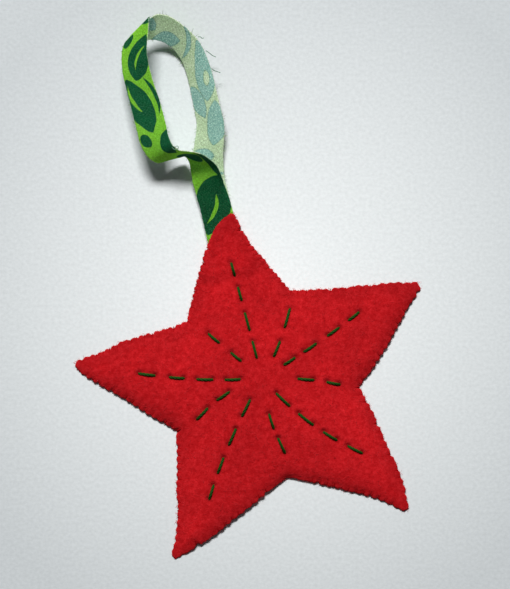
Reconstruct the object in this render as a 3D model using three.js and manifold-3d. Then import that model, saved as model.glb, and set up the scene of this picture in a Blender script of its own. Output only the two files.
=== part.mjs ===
// Felt star ornament: two felt stars stitched together around a soft filling, decorated with
// rays of green running stitch, and hung from a loop of printed cotton strip.
// Millimetres. The star lies on its back, +Z up, with its top arm towards +Y. The origin is on
// the rest plane, under the point that the stitched rays run to.
import * as THREE from 'three';
import { mergeVertices } from 'three/addons/utils/BufferGeometryUtils.js';
import Module from 'manifold-3d';

const wasm = await Module();
wasm.setup();

// Driving dimensions
const armReach = 60;
const feltThickness = 1.2;
const frontCrown = 4.5;
const backCrown = 0.5;
const rimLift = 0.3;
const armDroop = 0.3;
const fitGap = 0.3;
const threadDiameter = 1;
const knotDiameter = 1.4;
const knotSetback = 2;
const stripWidth = 10;
const clothThickness = 0.25;
const loopLength = 63;
const tailLength = 16;
const hingeGap = 0.48;
const layerGap = 0.3;

const degree = Math.PI / 180;
const { smoothstep, lerp } = THREE.MathUtils;

// Outline of the hand-cut star, counter-clockwise. Each row is one side, from a valley to a tip
// or from a tip to a valley, as [share of the arm's reach, degrees] seen from the ray centre.
const sideShares = [
  [[0.525, -5.2], [0.591, 4], [0.712, 16], [0.837, 24]],
  [[0.973, 30.6], [0.858, 36], [0.708, 44], [0.580, 55]],
  [[0.496, 72.1], [0.560, 82], [0.648, 90], [0.748, 96]],
  [[0.894, 100.1], [0.863, 105.4], [0.768, 112.5], [0.667, 120], [0.580, 130]],
  [[0.502, 142.8], [0.588, 154], [0.744, 164], [0.901, 172]],
  [[1.000, 175.7], [0.934, 180], [0.762, 188], [0.622, 200]],
  [[0.539, 212.3], [0.595, 220], [0.740, 232], [0.911, 240]],
  [[1.069, 243.9], [0.916, 252], [0.765, 260], [0.627, 272]],
  [[0.556, 284.4], [0.630, 296], [0.781, 308], [0.900, 313.5]],
  [[1.049, 317.5], [0.918, 324], [0.746, 332], [0.620, 342]],
];
const stitchesPerSide = 16;
const columnsPerSide = 8;
const rimStepsPerSide = stitchesPerSide * 2;
const scallopDepth = 0.45;
const scallopPinch = 0.2;
const rimThinning = 0.5;

const fromPolarShare = ([share, angle]) => new THREE.Vector3(
  armReach * share * Math.cos(angle * degree),
  armReach * share * Math.sin(angle * degree),
  0,
);

// Evenly spaced points along all ten sides, the next side's corner closing each one.
function outlinePoints(stepsPerSide) {
  const points = [];
  sideShares.forEach((side, index) => {
    const nextCorner = sideShares[(index + 1) % sideShares.length][0];
    const curve = new THREE.CatmullRomCurve3([...side, nextCorner].map(fromPolarShare), false);
    points.push(...curve.getSpacedPoints(stepsPerSide).slice(0, -1));
  });
  return points;
}

const rimLine = outlinePoints(rimStepsPerSide);
const columnLine = outlinePoints(columnsPerSide);
const rimAngles = rimLine.map((point) => Math.atan2(point.y, point.x));

// Distance from the ray centre to the outline in the direction of a point.
function rimReach(x, y) {
  const angle = Math.atan2(y, x);
  for (let i = 0; i < rimLine.length; i += 1) {
    const next = (i + 1) % rimLine.length;
    const span = wrapAngle(rimAngles[next] - rimAngles[i]);
    const along = wrapAngle(angle - rimAngles[i]);
    if (along >= 0 && along < span) {
      return lerp(rimLine[i].length(), rimLine[next].length(), along / span);
    }
  }
  return rimLine[0].length();
}

function wrapAngle(angle) {
  return Math.atan2(Math.sin(angle), Math.cos(angle));
}

// The swell of a stuffed star: the shape of a skin blown up over the outline, found by
// relaxation on a square grid and scaled to 1 at its highest point.
const gridHalfCount = 55;
const gridReachShare = 1.1;
const gridStep = (armReach * gridReachShare) / gridHalfCount;
const gridSide = gridHalfCount * 2 + 1;
const relaxPasses = 260;
const relaxShare = 1.9;
const swellPower = 0.62;

function solveSwell() {
  const swell = new Float64Array(gridSide * gridSide);
  const inside = [];
  for (let row = 1; row < gridSide - 1; row += 1) {
    for (let column = 1; column < gridSide - 1; column += 1) {
      const x = (column - gridHalfCount) * gridStep;
      const y = (row - gridHalfCount) * gridStep;
      if (Math.hypot(x, y) < rimReach(x, y)) {
        inside.push(row * gridSide + column);
      }
    }
  }
  for (let pass = 0; pass < relaxPasses; pass += 1) {
    for (const cell of inside) {
      const sides = swell[cell - 1] + swell[cell + 1] + swell[cell - gridSide] + swell[cell + gridSide];
      swell[cell] += relaxShare * ((sides + 1) / 4 - swell[cell]);
    }
  }
  const highest = Math.max(...swell);
  return swell.map((value) => value / highest);
}

const swellGrid = solveSwell();

function swellAt(x, y) {
  const column = x / gridStep + gridHalfCount;
  const row = y / gridStep + gridHalfCount;
  const left = Math.floor(column);
  const low = Math.floor(row);
  const cell = low * gridSide + left;
  const lower = lerp(swellGrid[cell], swellGrid[cell + 1], column - left);
  const upper = lerp(swellGrid[cell + gridSide], swellGrid[cell + gridSide + 1], column - left);
  return lerp(lower, upper, row - low) ** swellPower;
}

// Where the loop is sewn in: the strip's middle at the edge of the top arm, and its directions.
const rootShare = [0.922, 105.2];
const rootAngle = 13;
const root = fromPolarShare(rootShare);
const acrossStrip = new THREE.Vector3(Math.cos(rootAngle * degree), Math.sin(rootAngle * degree), 0);
const upStrip = new THREE.Vector3(-acrossStrip.y, acrossStrip.x, 0);
const layerOffset = (clothThickness + layerGap) / 2;
const stackHalf = layerOffset + clothThickness / 2;
const mouthMargin = 2.5;
const mouthFade = 8;

// 1 where the two tails of the strip hold the felts apart, fading to 0 round them.
function mouthAt(x, y) {
  const offset = new THREE.Vector3(x, y, 0).sub(root);
  const beside = Math.max(Math.abs(offset.dot(acrossStrip)) - stripWidth / 2, 0);
  const beyond = Math.max(-offset.dot(upStrip) - tailLength, 0);
  return 1 - smoothstep(Math.hypot(beside, beyond), mouthMargin, mouthFade);
}

// Heights of the layers above the rest plane. The back is pressed flat where it rests, and the
// seam is lifted where the tails of the strip lie in it.
const seamAtCentre = rimLift + feltThickness + fitGap / 2;
const mouthOpening = stackHalf + fitGap / 2;
const droopPower = 3;
const seamHeight = (x, y) => (
  seamAtCentre - armDroop * (Math.hypot(x, y) / armReach) ** droopPower + mouthOpening * mouthAt(x, y)
);
const halfOpening = (x, y) => fitGap / 2 + mouthOpening * mouthAt(x, y);
const frontInside = (x, y, swell) => seamHeight(x, y) + halfOpening(x, y) + frontCrown * swell;
const backInside = (x, y, swell) => Math.max(
  seamHeight(x, y) - halfOpening(x, y) - backCrown * swell,
  feltThickness,
);

const ringShares = [0.2, 0.38, 0.54, 0.67, 0.78, 0.87, 0.94];

// A closed body between two height functions over a star outline. The rim line may be finer
// than the columns that run in to the centre.
function starBody(columns, rim, shares, upper, lower) {
  const positions = [];
  const faces = [];
  const count = columns.length;
  const stepsPerColumn = rim.length / count;
  const halfSteps = Math.ceil(stepsPerColumn / 2);
  const centreSwell = swellAt(0, 0);
  const layerStarts = [];
  [upper, lower].forEach((height, layer) => {
    layerStarts.push(positions.length / 3);
    positions.push(0, 0, height(0, 0, centreSwell, 0, 0));
    for (const share of shares) {
      for (const column of columns) {
        const x = column.x * share;
        const y = column.y * share;
        positions.push(x, y, height(x, y, swellAt(x, y), 0, 0));
      }
    }
    rim.forEach(({ x, y, swell = 0, thinning = 0, pinch = 0 }) => {
      positions.push(x, y, height(x, y, swell, thinning, pinch));
    });
    const start = layerStarts[layer];
    const face = (a, b, c) => faces.push(start + a, start + (layer ? c : b), start + (layer ? b : c));
    const ringVertex = (ring, j) => 1 + ring * count + (j % count);
    const rimVertex = (k) => 1 + shares.length * count + (k % rim.length);
    const lastRing = shares.length - 1;
    for (let j = 0; j < count; j += 1) {
      face(0, ringVertex(0, j), ringVertex(0, j + 1));
      for (let ring = 0; ring < lastRing; ring += 1) {
        face(ringVertex(ring, j), ringVertex(ring + 1, j), ringVertex(ring + 1, j + 1));
        face(ringVertex(ring, j), ringVertex(ring + 1, j + 1), ringVertex(ring, j + 1));
      }
      for (let k = 0; k < stepsPerColumn; k += 1) {
        const from = k < halfSteps ? j : j + 1;
        const step = j * stepsPerColumn + k;
        face(ringVertex(lastRing, from), rimVertex(step), rimVertex(step + 1));
      }
      face(ringVertex(lastRing, j), rimVertex(j * stepsPerColumn + halfSteps), ringVertex(lastRing, j + 1));
    }
  });
  const rimOffset = 1 + shares.length * count;
  for (let k = 0; k < rim.length; k += 1) {
    const next = (k + 1) % rim.length;
    const top = layerStarts[0] + rimOffset;
    const bottom = layerStarts[1] + rimOffset;
    faces.push(top + k, bottom + k, bottom + next);
    faces.push(top + k, bottom + next, top + next);
  }
  return closedGeometry(positions, faces);
}

function closedGeometry(positions, faces) {
  const geometry = new THREE.BufferGeometry();
  geometry.setAttribute('position', new THREE.Float32BufferAttribute(positions, 3));
  geometry.setIndex(faces);
  geometry.computeVertexNormals();
  return geometry;
}

// The felts' rims: the whip stitching presses them thin and down towards the rest plane, and
// every stitch pulls the edge in and pinches it, so that the felt swells out between stitches.
function scallopedRim() {
  return rimLine.map((point, k) => {
    const before = rimLine[(k + rimLine.length - 1) % rimLine.length];
    const after = rimLine[(k + 1) % rimLine.length];
    const outward = new THREE.Vector3(after.y - before.y, before.x - after.x, 0).normalize();
    const pulled = k % 2 === 0;
    const moved = point.clone().addScaledVector(outward, (pulled ? -scallopDepth : scallopDepth) / 2);
    moved.thinning = rimThinning * (1 - mouthAt(point.x, point.y));
    moved.pinch = pulled ? scallopPinch : 0;
    return moved;
  });
}

const feltRim = scallopedRim();

function frontFeltGeometry() {
  return starBody(
    columnLine,
    feltRim,
    ringShares,
    (x, y, swell, thinning, pinch) => (
      frontInside(x, y, swell) + feltThickness - thinning * 2 - pinch
    ),
    (x, y, swell, thinning) => frontInside(x, y, swell) - thinning,
  );
}

function backFeltGeometry() {
  return starBody(
    columnLine,
    feltRim,
    ringShares,
    (x, y, swell, thinning) => backInside(x, y, swell) - thinning,
    (x, y, swell, thinning, pinch) => backInside(x, y, swell) - feltThickness + pinch,
  );
}

// Filling: stops short of the whip stitching and of the tails, and leaves room under the front
// felt for the wrong side of the stitching.
const fillingShare = 0.8;
const fillingLeastThickness = 0.3;
const fillingRingShares = [0.3, 0.55, 0.78];
const fillingEndGap = 1.3;
const stitchRoom = knotDiameter + fitGap * 2;
const tailEnd = root.clone().addScaledVector(upStrip, -tailLength);

function fillingGeometry() {
  const outline = columnLine.map((column) => {
    const share = mouthAt(column.x, column.y) > 0
      ? Math.min(fillingShare, (tailEnd.length() - fillingEndGap) / column.length())
      : fillingShare;
    const point = column.clone().multiplyScalar(share);
    point.swell = swellAt(point.x, point.y);
    return point;
  });
  const lower = (x, y, swell) => backInside(x, y, swell) + fitGap;
  const upper = (x, y, swell) => Math.max(
    frontInside(x, y, swell) - stitchRoom,
    lower(x, y, swell) + fillingLeastThickness,
  );
  return starBody(outline, outline, fillingRingShares, upper, lower);
}

// Rays of running stitch, seen from the ray centre. Each row gives the direction in degrees at
// the ray's inner and outer end, then the needle holes as shares of the arm's reach.
const rayShares = [
  [104.5, 105, [0.111, 0.200, 0.263, 0.357, 0.428, 0.499, 0.566, 0.633]],
  [61.5, 68, [0.132, 0.215, 0.295, 0.397]],
  [31, 34, [0.138, 0.205, 0.264, 0.341, 0.417, 0.490, 0.556, 0.624]],
  [-1, -5, [0.193, 0.276, 0.348, 0.417]],
  [-47, -37, [0.113, 0.209, 0.274, 0.370, 0.438, 0.519, 0.587, 0.670]],
  [-79, -73, [0.197, 0.277, 0.335, 0.419]],
  [-118.5, -113.5, [0.134, 0.229, 0.307, 0.398, 0.475, 0.560, 0.630, 0.706]],
  [-157, -147.5, [0.190, 0.266, 0.333, 0.412]],
  [-176.5, -182, [0.117, 0.195, 0.263, 0.346, 0.416, 0.493, 0.572, 0.659]],
  [141, 140.5, [0.144, 0.211, 0.295, 0.369]],
];
const threadSides = 5;
const holeSides = 6;
const stitchArch = 0.2;
const knotSwellShares = [0.6, 1, 0.6];
const needleLength = feltThickness * 3;

// The needle holes of one ray as points on the rest plane.
function rayHoles([innerAngle, outerAngle, holes]) {
  return holes.map((share, index) => {
    const angle = lerp(innerAngle, outerAngle, index / (holes.length - 1));
    return fromPolarShare([share, angle]);
  });
}

function needleHole(place) {
  const swell = swellAt(place.x, place.y);
  const feltMiddle = frontInside(place.x, place.y, swell) + feltThickness / 2;
  const radius = threadDiameter / 2 + fitGap;
  const prism = new THREE.CylinderGeometry(radius, radius, needleLength, holeSides);
  prism.rotateX(Math.PI / 2);
  prism.translate(place.x, place.y, feltMiddle);
  return prism;
}

// The line that one ray's thread follows: up through a hole, over the felt, down through the
// next, under the felt and so on, with a knot under the felt at each end.
function rayThreadPath(holes) {
  const path = [];
  const radius = threadDiameter / 2;
  const add = (x, y, z, thickness) => path.push({ point: new THREE.Vector3(x, y, z), thickness });
  const under = ({ x, y }) => frontInside(x, y, swellAt(x, y)) - fitGap;
  const over = ({ x, y }) => under({ x, y }) + fitGap * 2 + feltThickness;
  const addKnot = (hole, neighbour, reversed) => {
    const away = hole.clone().sub(neighbour).setLength(knotSetback);
    const centre = hole.clone().add(away);
    const inward = away.clone().setLength(knotDiameter / knotSwellShares.length);
    const rows = knotSwellShares.map((share, index) => {
      const place = centre.clone().addScaledVector(inward, 1 - index);
      return [place.x, place.y, under(place) - knotDiameter / 2, share * knotDiameter / 2];
    });
    (reversed ? rows.reverse() : rows).forEach((row) => add(...row));
  };
  addKnot(holes[0], holes[1], false);
  holes.forEach((hole, index) => {
    const bottom = [hole.x, hole.y, under(hole) - radius, radius];
    const top = [hole.x, hole.y, over(hole) + radius, radius];
    const rising = index % 2 === 0;
    add(...(rising ? bottom : top));
    add(...(rising ? top : bottom));
    if (rising) {
      const middle = hole.clone().add(holes[index + 1]).multiplyScalar(1 / 2);
      add(middle.x, middle.y, over(middle) + radius + stitchArch, radius);
    }
  });
  addKnot(holes.at(-1), holes.at(-2), true);
  return path;
}

// A tube of varying thickness along a path, each ring lying square to the path's bisector.
function threadGeometry(path) {
  const positions = [];
  const faces = [];
  let side = null;
  path.forEach(({ point, thickness }, index) => {
    const before = path[Math.max(index - 1, 0)].point;
    const after = path[Math.min(index + 1, path.length - 1)].point;
    const arriving = point.clone().sub(before).normalize();
    const leaving = after.clone().sub(point).normalize();
    const heading = arriving.add(leaving).normalize();
    if (side === null) {
      side = new THREE.Vector3(0, 0, 1).cross(heading).normalize();
    }
    const across = side.clone().addScaledVector(heading, -side.dot(heading)).normalize();
    const lift = heading.clone().cross(across);
    for (let k = 0; k < threadSides; k += 1) {
      const turn = (k / threadSides) * Math.PI * 2;
      const vertex = point.clone();
      vertex.addScaledVector(across, thickness * Math.cos(turn));
      vertex.addScaledVector(lift, thickness * Math.sin(turn));
      positions.push(vertex.x, vertex.y, vertex.z);
    }
  });
  for (let ring = 0; ring < path.length - 1; ring += 1) {
    for (let k = 0; k < threadSides; k += 1) {
      const a = ring * threadSides + k;
      const b = ring * threadSides + ((k + 1) % threadSides);
      faces.push(a, b, b + threadSides);
      faces.push(a, b + threadSides, a + threadSides);
    }
  }
  const lastRing = (path.length - 1) * threadSides;
  for (let k = 1; k < threadSides - 1; k += 1) {
    faces.push(0, k + 1, k);
    faces.push(lastRing, lastRing + k, lastRing + k + 1);
  }
  return closedGeometry(positions, faces);
}

// A strip of cloth as a closed solid between a left and a right edge line, three points wide.
function stripGeometry(left, right) {
  const positions = [];
  const faces = [];
  const pointsAcross = 3;
  const rows = left.length;
  for (const sign of [1, -1]) {
    for (let row = 0; row < rows; row += 1) {
      const before = Math.max(row - 1, 0);
      const after = Math.min(row + 1, rows - 1);
      for (let k = 0; k < pointsAcross; k += 1) {
        const share = k / (pointsAcross - 1);
        const point = left[row].clone().lerp(right[row], share);
        const heading = left[after].clone().lerp(right[after], share);
        heading.sub(left[before].clone().lerp(right[before], share));
        const normal = right[row].clone().sub(left[row]).cross(heading).normalize();
        point.addScaledVector(normal, (sign * clothThickness) / 2);
        positions.push(point.x, point.y, point.z);
      }
    }
  }
  const vertex = (layer, row, k) => layer * rows * pointsAcross + row * pointsAcross + k;
  const quad = (a, b, c, d) => faces.push(a, b, c, a, c, d);
  for (let row = 0; row < rows - 1; row += 1) {
    for (let k = 0; k < pointsAcross - 1; k += 1) {
      quad(vertex(0, row, k), vertex(0, row, k + 1), vertex(0, row + 1, k + 1), vertex(0, row + 1, k));
      quad(vertex(1, row, k), vertex(1, row + 1, k), vertex(1, row + 1, k + 1), vertex(1, row, k + 1));
    }
    const last = pointsAcross - 1;
    quad(vertex(0, row, 0), vertex(0, row + 1, 0), vertex(1, row + 1, 0), vertex(1, row, 0));
    quad(vertex(0, row, last), vertex(1, row, last), vertex(1, row + 1, last), vertex(0, row + 1, last));
  }
  for (let k = 0; k < pointsAcross - 1; k += 1) {
    const end = rows - 1;
    quad(vertex(0, 0, k), vertex(1, 0, k), vertex(1, 0, k + 1), vertex(0, 0, k + 1));
    quad(vertex(0, end, k), vertex(0, end, k + 1), vertex(1, end, k + 1), vertex(1, end, k));
  }
  return closedGeometry(positions, faces);
}

// One tail of the strip, from just below the hinge line into the arm, following the seam.
const tailRows = 8;

function tailGeometry(offset) {
  const edge = (side) => Array.from({ length: tailRows + 1 }, (_, row) => {
    const down = lerp(hingeGap, tailLength, row / tailRows);
    const point = root.clone().addScaledVector(upStrip, -down);
    const middleHeight = seamHeight(point.x, point.y) + offset;
    point.addScaledVector(acrossStrip, (side * stripWidth) / 2);
    point.z = middleHeight;
    return point;
  });
  return stripGeometry(edge(1), edge(-1));
}

// Stations along the loop, from where its upper run leaves the top arm, round to where its lower
// run comes back under it: the strip's middle as shares of the loop's length to the side of and
// above the root, its height as a share of the strip's width, then the directions in degrees of
// the line from its left to its right edge, in plan and upwards. Half way it is folded over.
const stationShares = [
  [-0.017, 0.065, 0.25, 7, 1],
  [-0.032, 0.110, 0.29, 2, 2],
  [-0.044, 0.149, 0.38, -1, 6],
  [-0.054, 0.193, 0.50, -6, 15],
  [-0.068, 0.235, 0.61, -7, 27],
  [-0.089, 0.262, 0.70, -5, 41],
  [-0.120, 0.283, 0.76, 4, 57],
  [-0.161, 0.287, 0.79, 28, 72],
  [-0.201, 0.285, 0.83, 47, 72],
  [-0.231, 0.284, 0.94, 46, 59],
  [-0.256, 0.284, 1.08, 45, 45],
  [-0.281, 0.300, 1.15, 36, 33],
  [-0.301, 0.330, 1.17, 26, 26],
  [-0.316, 0.365, 1.17, 17, 21],
  [-0.327, 0.413, 1.15, 7, 18],
  [-0.344, 0.482, 1.13, 6, 17],
  [-0.364, 0.557, 1.11, 7, 20],
  [-0.386, 0.630, 1.09, 6, 25],
  [-0.404, 0.700, 1.09, 5, 28],
  [-0.414, 0.768, 1.10, 7, 33],
  [-0.414, 0.824, 1.11, 9, 36],
  [-0.404, 0.872, 1.10, 20, 36],
  [-0.391, 0.922, 1.05, 41, 33],
  [-0.387, 0.932, 0.95, 42, 33],
  [-0.383, 0.925, 0.86, 43, 33],
  [-0.360, 0.925, 0.78, 56, 35],
  [-0.326, 0.931, 0.77, 70, 37],
  [-0.285, 0.930, 0.75, 74, 37],
  [-0.240, 0.914, 0.68, 74, 37],
  [-0.196, 0.882, 0.56, 68, 37],
  [-0.159, 0.846, 0.46, 59, 35],
  [-0.127, 0.799, 0.39, 50, 33],
  [-0.102, 0.740, 0.35, 41, 33],
  [-0.081, 0.670, 0.33, 28, 35],
  [-0.063, 0.589, 0.32, 15, 36],
  [-0.046, 0.515, 0.31, 6, 34],
  [-0.034, 0.454, 0.28, 3, 29],
  [-0.033, 0.402, 0.24, 2, 24],
  [-0.040, 0.343, 0.19, 3, 18],
  [-0.045, 0.282, 0.14, 2, 12],
  [-0.044, 0.221, 0.11, 1, 6],
  [-0.037, 0.158, 0.10, 1, 3],
  [-0.026, 0.110, 0.12, 3, 1],
  [-0.016, 0.065, 0.145, 7, 0],
];
const samplesPerStation = 3;

// The loop's end rows lie one hinge gap past the hinge line, above and below the seam.
function loopEndStation(offset) {
  const middle = root.clone().addScaledVector(upStrip, hingeGap);
  middle.z = seamHeight(root.x, root.y) + offset;
  return { middle, across: acrossStrip.clone() };
}

function loopStation([xShare, yShare, zShare, planAngle, riseAngle]) {
  const middle = new THREE.Vector3(loopLength * xShare, loopLength * yShare, 0).add(root);
  middle.z = stripWidth * zShare;
  const across = new THREE.Vector3(
    Math.cos(planAngle * degree) * Math.cos(riseAngle * degree),
    Math.sin(planAngle * degree) * Math.cos(riseAngle * degree),
    Math.sin(riseAngle * degree),
  );
  return { middle, across };
}

function loopGeometry() {
  const stations = [
    loopEndStation(layerOffset),
    ...stationShares.map(loopStation),
    loopEndStation(-layerOffset),
  ];
  const edge = (side) => {
    const points = stations.map(({ middle, across }) => (
      middle.clone().addScaledVector(across, (side * stripWidth) / 2)
    ));
    return new THREE.CatmullRomCurve3(points, false, 'catmullrom').getPoints(
      (stations.length - 1) * samplesPerStation,
    );
  };
  return stripGeometry(edge(-1), edge(1));
}

// Joining and cutting of closed meshes
function toSolid(geometry) {
  const bare = geometry.clone();
  bare.deleteAttribute('normal');
  bare.deleteAttribute('uv');
  const merged = mergeVertices(bare);
  return new wasm.Manifold(new wasm.Mesh({
    numProp: 3,
    vertProperties: new Float32Array(merged.attributes.position.array),
    triVerts: new Uint32Array(merged.index.array),
  }));
}

function toGeometry(solid) {
  const mesh = solid.getMesh();
  return closedGeometry(Array.from(mesh.vertProperties), Array.from(mesh.triVerts));
}

const material = (color, roughness) => new THREE.MeshStandardMaterial({ color, roughness, metalness: 0 });
const redFelt = () => material('#b8161e', 0.95);
const ornament = new THREE.Group();

function addPiece(name, geometry, finish) {
  const mesh = new THREE.Mesh(geometry, finish);
  mesh.name = name;
  ornament.add(mesh);
}

const rays = rayShares.map(rayHoles);
let frontFelt = toSolid(frontFeltGeometry());
for (const hole of rays.flat()) {
  frontFelt = frontFelt.subtract(toSolid(needleHole(hole)));
}

addPiece('back_felt', backFeltGeometry(), redFelt());
addPiece('filling', fillingGeometry(), material('#efece4', 1));
addPiece('front_felt', toGeometry(frontFelt), redFelt());
rays.forEach((holes, index) => {
  addPiece(`ray_thread_${index + 1}`, threadGeometry(rayThreadPath(holes)), material('#24602a', 0.7));
});
addPiece('hanger_tail_front', tailGeometry(layerOffset), material('#17643a', 0.9));
addPiece('hanger_tail_back', tailGeometry(-layerOffset), material('#a9c78f', 0.9));
addPiece('hanger_loop', loopGeometry(), material('#78ba2c', 0.9));

export default ornament;
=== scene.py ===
import math
import random

import bpy
import numpy as np
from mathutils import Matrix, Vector, kdtree, noise
from mathutils.bvhtree import BVHTree


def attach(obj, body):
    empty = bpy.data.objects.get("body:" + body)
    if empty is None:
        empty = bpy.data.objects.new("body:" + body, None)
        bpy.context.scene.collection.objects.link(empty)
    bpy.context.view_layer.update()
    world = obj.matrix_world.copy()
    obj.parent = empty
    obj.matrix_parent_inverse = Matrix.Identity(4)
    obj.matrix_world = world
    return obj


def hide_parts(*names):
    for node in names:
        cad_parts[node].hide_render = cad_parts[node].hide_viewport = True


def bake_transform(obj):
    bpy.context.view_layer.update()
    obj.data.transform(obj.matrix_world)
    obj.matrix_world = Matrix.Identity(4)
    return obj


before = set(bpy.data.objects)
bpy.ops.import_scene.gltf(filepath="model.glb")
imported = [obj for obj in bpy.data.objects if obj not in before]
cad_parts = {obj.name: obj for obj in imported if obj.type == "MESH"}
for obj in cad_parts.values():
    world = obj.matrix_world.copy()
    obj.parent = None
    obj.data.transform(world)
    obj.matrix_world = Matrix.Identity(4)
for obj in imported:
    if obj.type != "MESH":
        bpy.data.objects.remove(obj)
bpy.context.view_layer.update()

# Camera: straight above the ornament, as in the photograph, with the top of the picture
# towards +Y. One pixel of the 510 x 589 picture covers 0.32 mm at the height of the seam.
picture_width, picture_height = 510, 589
ray_centre_pixel = (262, 378)
metres_per_pixel = 0.00032
seam_level = 0.005
camera_lens = 200
camera_sensor = 36
camera_distance = picture_height * metres_per_pixel * camera_lens / camera_sensor
picture_x = (picture_width / 2 - ray_centre_pixel[0]) * metres_per_pixel
picture_y = (ray_centre_pixel[1] - picture_height / 2) * metres_per_pixel

bpy.ops.object.select_all(action="DESELECT")
bpy.ops.object.camera_add(location=(picture_x, picture_y, seam_level + camera_distance))
camera = bpy.context.object
camera.data.lens = camera_lens
camera.data.sensor_width = camera_sensor
bpy.context.scene.camera = camera
bpy.context.scene.view_settings.view_transform = "Standard"

# Light: a window, wider than high, beyond the top of the picture and slightly to the left, over
# a dim even surround. Together they light a flat surface to about the colour that it is given.
window_power = 89
window_width = 0.88
window_height = 0.50
window_distance = 2.7
window_height_angle = math.radians(49.2)
window_side_angle = math.radians(-7.8)
surround_strength = 0.066
surround_colour = (0.95, 0.98, 1.0, 1)

bpy.ops.object.light_add(type="AREA")
window = bpy.context.object
window.data.energy = window_power
window.data.shape = "RECTANGLE"
window.data.size = window_width
window.data.size_y = window_height
window.rotation_euler = (window_height_angle - math.pi / 2, 0, -window_side_angle)
window.location = window.rotation_euler.to_matrix() @ Vector((0, 0, window_distance))
world = bpy.data.worlds.new("surround")
bpy.context.scene.world = world
world.use_nodes = True
world.node_tree.nodes["Background"].inputs["Color"].default_value = surround_colour
world.node_tree.nodes["Background"].inputs["Strength"].default_value = surround_strength

# Paper: the sheet of pale cartridge paper that the ornament lies on. It isn't part of the object.
# Its colour is painted lighter round the middle of the picture and darker towards the corners, a
# painted falloff of light, and its grain barely shows.
paper_side = 3
paper_grain_depth = 0.0002


def linear(code):
    """An sRGB hex colour as a linear RGBA tuple."""
    parts = [int(code[i:i + 2], 16) / 255 for i in (1, 3, 5)]
    curve = [p / 12.92 if p <= 0.04045 else ((p + 0.055) / 1.055) ** 2.4 for p in parts]
    return (*curve, 1)


def new_material(name):
    """An empty node material, the function that adds nodes to it, and the place on the object."""
    material = bpy.data.materials.new(name)
    material.use_nodes = True
    tree = material.node_tree
    tree.nodes.clear()

    def add(kind, inputs=None, **settings):
        """Adds a node, sets its properties, then sets or links each input, where a node stands
        for its first output in use. A Mix node for colours takes its factor at input 0 and its
        two colours at 6 and 7."""
        node = tree.nodes.new("ShaderNode" + kind)
        for setting, value in settings.items():
            setattr(node, setting, value)
        for socket, value in (inputs or {}).items():
            if isinstance(value, bpy.types.Node):
                value = next(output for output in value.outputs if output.enabled)
            if isinstance(value, bpy.types.NodeSocket):
                tree.links.new(value, node.inputs[socket])
            else:
                node.inputs[socket].default_value = value
        return node

    return material, add, add("TexCoord").outputs["Object"]


def paper_material():
    """Cartridge paper: matt, with painted light in the middle of the picture and painted shade at
    its corners.
    """
    material, add, place = new_material("cartridge_paper")
    # Painted light: a spherical gradient makes the paper's colour lighter round the middle of the
    # picture and darker towards its corners.
    centred = add("Mapping", {"Vector": place, "Location": (0, -0.12, 0), "Scale": (5.6, 5.2, 0)})
    painted_light_gradient = add("TexGradient", {"Vector": centred}, gradient_type="SPHERICAL")
    painted_light_share = add("MapRange", {"Value": painted_light_gradient.outputs[1], "From Min": 0.4, "From Max": 0.95})
    colour = add("Mix", {0: painted_light_share, 6: linear("#C9CED0"), 7: linear("#F4F8F8")}, data_type="RGBA")
    grain = add("TexNoise", {"Vector": place, "Scale": 900, "Detail": 3})
    tone = add(
        "MapRange",
        {"Value": grain, "From Min": 0.25, "From Max": 0.75, "To Min": 0.94, "To Max": 1.06},
    )
    colour = add("HueSaturation", {"Color": colour, "Value": tone})
    bump = add("Bump", {"Height": grain, "Strength": 0.25, "Distance": paper_grain_depth})
    shader = add("BsdfPrincipled", {"Base Color": colour, "Roughness": 0.9, "Normal": bump})
    add("OutputMaterial", {"Surface": shader})
    return material


bpy.ops.mesh.primitive_plane_add(size=paper_side, location=(0, 0, 0))
paper = bpy.context.object
paper.name = "paper"
paper.data.materials.append(paper_material())

# Star outline: both felts are cut by hand from one paper pattern, so the outline is uneven.
# Each row is one side, from a valley to a tip or back, as [share of the reach, degrees].
arm_reach = 0.060
side_shares = [
    [[0.525, -5.2], [0.591, 4], [0.712, 16], [0.837, 24]],
    [[0.973, 30.6], [0.858, 36], [0.708, 44], [0.580, 55]],
    [[0.496, 72.1], [0.560, 82], [0.648, 90], [0.748, 96]],
    [[0.894, 100.1], [0.863, 105.4], [0.768, 112.5], [0.667, 120], [0.580, 130]],
    [[0.502, 142.8], [0.588, 154], [0.744, 164], [0.901, 172]],
    [[1.000, 175.7], [0.934, 180], [0.762, 188], [0.622, 200]],
    [[0.539, 212.3], [0.595, 220], [0.740, 232], [0.911, 240]],
    [[1.069, 243.9], [0.906, 252], [0.760, 260], [0.624, 272]],
    [[0.556, 284.4], [0.630, 296], [0.781, 308], [0.900, 313.5]],
    [[1.049, 317.5], [0.930, 324], [0.758, 332], [0.630, 342]],
]
stitches_per_side = 16
samples_per_stitch = 16
curve_steps = 60


def polar_point(share, angle):
    turn = math.radians(angle)
    return Vector((arm_reach * share * math.cos(turn), arm_reach * share * math.sin(turn), 0))


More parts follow.
